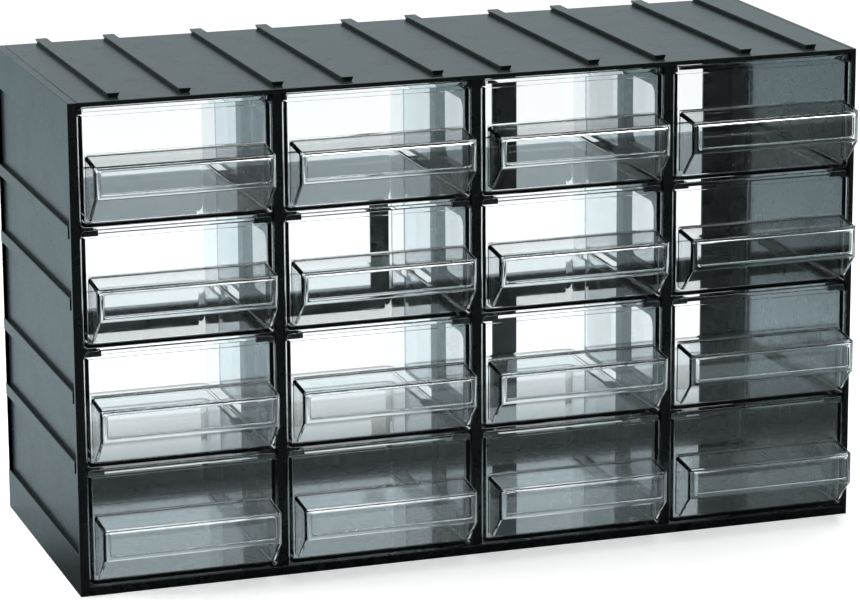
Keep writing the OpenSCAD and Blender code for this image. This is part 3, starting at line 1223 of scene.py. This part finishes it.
    def label_cutter(self) -> Shell:
        """Recess for a label, whose rim is left as a round bead.

        In front of the panel the tool is wider than the recess by the rim's radius.
        From the panel's face on it narrows by the radius times the sine of an angle
        that runs to a right angle, and it ends in a small quarter round.

        Returns:
            The closed shell of the tool.
        """
        front = self.grip_root - self.grip_fall
        half = self.grip_half - self.label_end
        low = front - self.label_height + self.label_bottom
        corners = box_corners((-half, low), (half, front - self.label_top))
        outline = rounded_outline(corners, self.label_corner)
        inset, advance = quarter(steps=5)
        face = -self.grip_reach
        end = face + self.label_recess
        fillet = self.label_fillet
        widen = np.concatenate([[self.label_round], self.label_round * inset, -fillet * advance])
        along = np.concatenate([[face - 2 * PAST], face + self.label_round * advance, end - fillet * inset])
        rings = outline[None] - widen[:, None, None] * inward(outline)[None]
        return sweep(rings, along, Plane.FRONT)

    def corner_cutters(self) -> list[Shell]:
        """Tools that round the grip's upright front edges and the two ends of its top.

        For the ends of the top the rings are shifted, so the tool follows the top's fall.

        Returns:
            The closed shells of the tools.
        """
        half, reach, root = self.grip_half, self.grip_reach, self.grip_root
        ends = np.array([-reach - PAST, -self.shoulder_end])
        levels = root + self.grip_fall / reach * ends
        made = []
        for side in (1, -1):
            upright = outside_corner(self.corner_round, (side, -1)) + (side * half, -reach)
            rise = np.array([self.corner_start, root + PAST])
            made.append(sweep(np.stack([upright, upright]), rise, Plane.TOP))
            shoulder = outside_corner(self.shoulder_round, (side, 1))
            shifts = np.stack([np.full(2, side * half), levels], axis=1)
            made.append(sweep(shoulder[None] + shifts[:, None], ends, Plane.FRONT))
        return made

    def lugs(self) -> list[Shell]:
        """Stop lug on each rim of the bin."""
        outer = self.bin_width / 2 - self.set_in
        inner = outer - self.bin_wall + 2 * self.set_in
        end, foot = self.lug_start + self.lug_length, self.bin_top - self.lug_root
        return [
            slab((low, self.lug_start, foot), (high, end, self.lug_top), self.fine_edge)
            for low, high in ((-outer, -inner), (inner, outer))
        ]

    def mesh(self) -> bpy.types.Mesh:
        """One drawer as a single skin, in its own place."""
        shells = self.plate() + [self.bin()] + self.grip() + self.lugs()
        return mould("drawer", shells, [self.label_cutter()] + self.corner_cutters())

    def build(self) -> None:
        """Copy the drawer into each cell and put each copy on its own body."""
        pattern = self.mesh()
        for node in sorted(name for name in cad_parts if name.startswith("drawer_")):
            low, high = edges_mm(node)
            place = Vector(((low[0] + high[0]) / 2, low[1] + self.grip_reach, low[2] - self.drop))
            mesh = pattern.copy()
            mesh.name = node
            mesh.transform(Matrix.Translation(place * MM))
            add_piece(mesh, node, node, CLEAR_PLASTIC)
        bpy.data.meshes.remove(pattern)


# ---------------------------------------------------------------- the studio


@dataclass(frozen=True)
class Studio:
    """White floor and background, soft light, and the camera."""

    azimuth: float = -18.49
    elevation: float = 14.34
    roll: float = -0.31
    distance: float = 1.8872
    slide_right: float = 0.0025
    slide_up: float = -0.0087
    lens: float = 163.87
    sensor: float = 36.0
    clip: Pair = (0.1, 100.0)
    aim: Triple = (-0.00105, 0.0086, 0.115)
    floor_size: float = 12.0
    floor_tone: float = 0.8
    floor_glow: Pair = (0.5, 0.72)
    glow_reach: Pair = (0.8, 2.5)
    shade_fade: Pair = (0.1, 0.24)
    shade_tone: float = 0.1
    mirror_side: Pair = (-0.2, 0.25)
    mirror_inside: Pair = (0.75, 0.8)
    mirror_deep: Pair = (0.3, 0.8)
    deep_walls: float = 4.5
    thrown_bounces: float = 2.5
    mirror_outside: Pair = (0.62, 0.66)
    room_turn: Pair = (-0.06, 0.06)
    near_glow: float = 0.7
    overhead: Pair = (0.32, 0.55)
    cool: Color = (0.85, 0.99, 1.03, 1.0)
    mirror_front: Pair = (-0.6, -0.22)
    front_light: float = 0.04
    dome_light: float = 0.75
    dome_fade: Pair = (-0.35, 0.25)
    lamps_above: Triple = (0.35, -0.1, 1.3)
    above_power: float = 10.0
    above_size: Pair = (1.4, 0.4)
    lamps_left: Triple = (-1.5, 0.2, 0.7)
    left_power: float = 24.0
    left_size: Pair = (0.8, 0.8)

    def camera(self) -> None:
        """Stand the camera to the left of the front, a little above the cabinet.

        Its axes are back = (sin a cos e, -cos a cos e, sin e), right = (cos a, sin a, 0)
        and up = back x right, turned by the roll about back.
        """
        azimuth, elevation, roll = np.radians([self.azimuth, self.elevation, self.roll])
        back = np.array(
            [np.sin(azimuth) * np.cos(elevation), -np.cos(azimuth) * np.cos(elevation), np.sin(elevation)]
        )
        right = np.array([np.cos(azimuth), np.sin(azimuth), 0.0])
        up = np.cross(back, right)
        place = np.array(self.aim) + back * self.distance + right * self.slide_right + up * self.slide_up
        rolled_right = right * np.cos(roll) + up * np.sin(roll)
        rolled_up = up * np.cos(roll) - right * np.sin(roll)
        data = bpy.data.cameras.new("camera")
        data.lens = self.lens
        data.sensor_width = self.sensor
        data.clip_start, data.clip_end = self.clip
        camera = bpy.data.objects.new("camera", data)
        bpy.context.scene.collection.objects.link(camera)
        axes = np.eye(4)
        axes[:3, :3] = np.stack([rolled_right, rolled_up, back], axis=1)
        axes[:3, 3] = place
        camera.matrix_world = Matrix(axes.tolist())
        bpy.context.scene.camera = camera

    def room(self, nodes: Nodes, direction: Socket) -> Socket:
        """Light of the room by direction, dim in front, and dimmer where it is mirrored.

        A mirrored path meets less light on the left, and least where it has passed
        many faces of clear plastic on its way.

        Args:
            nodes: helper of the tree to build in.
            direction: where the light comes from, as seen from the cabinet.

        Returns:
            The strength from 0 to 1, and 1 wherever it is looked at or looked through.
        """
        axes = nodes.add("ShaderNodeSeparateXYZ")
        nodes.link(direction, axes.inputs["Vector"])
        mirrored, seen, walls = self.paths(nodes)
        depth = nodes.fade(axes.outputs["Y"], self.dome_fade, (self.front_light, 1.0))
        outer, inner, deeper = (
            nodes.fade(axes.outputs["X"], self.mirror_side, ends)
            for ends in (self.mirror_outside, self.mirror_inside, self.mirror_deep)
        )
        within = nodes.blend(nodes.math("GREATER_THAN", walls, self.deep_walls), inner, deeper)
        reflected = nodes.blend(nodes.math("MINIMUM", walls, 1.0), outer, within)
        level = nodes.blend(mirrored, self.dome_light, reflected)
        above = nodes.fade(axes.outputs["Z"], self.overhead, (0.0, 1.0))
        shaped = nodes.times(depth, level)
        shaped = nodes.math("MAXIMUM", shaped, nodes.times(above, mirrored))
        return nodes.math("MAXIMUM", shaped, seen)

    def paths(self, nodes: Nodes) -> tuple[Socket, ...]:
        """Masks of the light paths that met a mirror, and of those that only look through.

        A path that is mirrored three times or more and then leaves the clear plastic
        counts as one that looks through.

        Args:
            nodes: helper of the tree to build in.

        Returns:
            The masks of mirrored paths and of seen ones, and how many faces were passed through.
        """
        rays = nodes.add("ShaderNodeLightPath")
        leaving = rays.outputs["Is Transmission Ray"]
        several = nodes.math("GREATER_THAN", rays.outputs["Glossy Depth"], self.thrown_bounces)
        thrown = nodes.times(several, leaving)
        met = nodes.math("MINIMUM", rays.outputs["Glossy Depth"], 1.0)
        mirrored = nodes.times(met, nodes.without(thrown))
        looked = nodes.math("MAXIMUM", rays.outputs["Is Camera Ray"], leaving)
        seen = nodes.times(looked, nodes.without(mirrored))
        return mirrored, seen, rays.outputs["Transmission Depth"]

    def tinted(self, nodes: Nodes, mirrored: Socket) -> Socket:
        """White, or the cool tint of the room where it is mirrored."""
        return nodes.blend(mirrored, WHITE, self.cool, "RGBA")

    def floor(self) -> None:
        """White floor with the cabinet's soft shadow, and with tones by place for other paths.

        A path that leaves clear plastic meets a tone that is multiplied by a smooth step in
        Y, from shade_tone before shade_fade to one past it, so also under and in front of
        the cabinet. No lamp casts that shade. A mirrored path meets the room's light
        behind the cabinet. In front it meets front_light, or a smooth step from that to
        one over mirror_front where it has passed clear plastic.
        """
        half = self.floor_size / 2
        mesh = bpy.data.meshes.new("floor")
        corners = [(-half, -half, 0), (half, -half, 0), (half, half, 0), (-half, half, 0)]
        mesh.from_pydata(corners, [], [(0, 1, 2, 3)])
        floor = bare_object(mesh)
        material = bpy.data.materials.new("floor_paper")
        material.use_nodes = True
        shader = material.node_tree.nodes["Principled BSDF"]
        shader.inputs["Roughness"].default_value = 1.0
        shader.inputs["Specular IOR Level"].default_value = 0.0
        nodes = Nodes(material.node_tree)
        place = nodes.add("ShaderNodeTexCoord").outputs["Object"]
        direction = nodes.add("ShaderNodeVectorMath", operation="NORMALIZE")
        nodes.link(place, direction.inputs[0])
        axes = nodes.add("ShaderNodeSeparateXYZ")
        nodes.link(place, axes.inputs["Vector"])
        rays = nodes.add("ShaderNodeLightPath")
        mirrored, seen, walls = self.paths(nodes)
        outside = nodes.without(nodes.math("MINIMUM", walls, 1.0))
        beyond = nodes.fade(axes.outputs["Y"], self.shade_fade, (self.shade_tone, 1.0))
        shade = nodes.blend(rays.outputs["Is Transmission Ray"], 1.0, beyond)
        ahead = nodes.fade(axes.outputs["Y"], self.mirror_front, (self.front_light, 1.0))
        near = nodes.blend(nodes.times(mirrored, outside), ahead, self.front_light)
        behind = nodes.fade(axes.outputs["Y"], self.room_turn, (0.0, 1.0))
        around = nodes.blend(behind, near, self.room(nodes, direction.outputs["Vector"]))
        tone = nodes.times(nodes.math("MAXIMUM", around, seen), shade)
        lit = nodes.blend(nodes.math("MAXIMUM", seen, mirrored), 1.0, tone)
        tint = self.tinted(nodes, mirrored)
        scaled = nodes.add("ShaderNodeVectorMath", operation="SCALE")
        nodes.link(tint, scaled.inputs[0])
        nodes.link(nodes.times(lit, self.floor_tone), scaled.inputs["Scale"])
        nodes.link(scaled.outputs["Vector"], shader.inputs["Base Color"])
        nodes.link(tint, shader.inputs["Emission Color"])
        away = nodes.add("ShaderNodeVectorMath", operation="LENGTH")
        nodes.link(place, away.inputs[0])
        evened = nodes.fade(away.outputs["Value"], self.glow_reach, self.floor_glow)
        glow = nodes.times(nodes.times(seen, tone), evened)
        front = nodes.times(near, nodes.without(behind))
        flare = nodes.times(nodes.times(mirrored, front), self.near_glow)
        nodes.link(nodes.math("ADD", glow, flare), shader.inputs["Emission Strength"])
        mesh.materials.append(material)

    def world(self) -> None:
        """White background, with a room that is bright behind and dim in front."""
        world = bpy.data.worlds.new("studio")
        bpy.context.scene.world = world
        world.use_nodes = True
        nodes = Nodes(world.node_tree)
        background = world.node_tree.nodes["Background"]
        nodes.link(self.tinted(nodes, self.paths(nodes)[0]), background.inputs["Color"])
        place = nodes.add("ShaderNodeTexCoord")
        nodes.link(self.room(nodes, place.outputs["Generated"]), background.inputs["Strength"])

    def softbox(self, name: str, place: Triple, size: Pair, power: float) -> None:
        """Hang a rectangular lamp that points at the cabinet.

        Args:
            name: name of the lamp.
            place: where it hangs.
            size: its width and height.
            power: its power in watts.
        """
        data = bpy.data.lights.new(name, "AREA")
        data.shape = "RECTANGLE"
        data.size, data.size_y = size
        data.energy = power
        lamp = bpy.data.objects.new(name, data)
        bpy.context.scene.collection.objects.link(lamp)
        lamp.location = place
        lamp.rotation_euler = (Vector(place) - Vector(self.aim)).to_track_quat("Z", "Y").to_euler()

    def build(self) -> None:
        """Set up the whole studio."""
        self.floor()
        self.world()
        self.softbox("softbox_above", self.lamps_above, self.above_size, self.above_power)
        self.softbox("softbox_left", self.lamps_left, self.left_size, self.left_power)
        self.camera()
        bpy.context.scene.view_settings.view_transform = "Standard"


def main() -> None:
    """Build the cabinet and its studio."""
    logging.basicConfig(level=logging.INFO, format="%(name)s %(message)s")
    Case().build()
    Drawer().build()
    Studio().build()


if __name__ == "__main__":
    main()
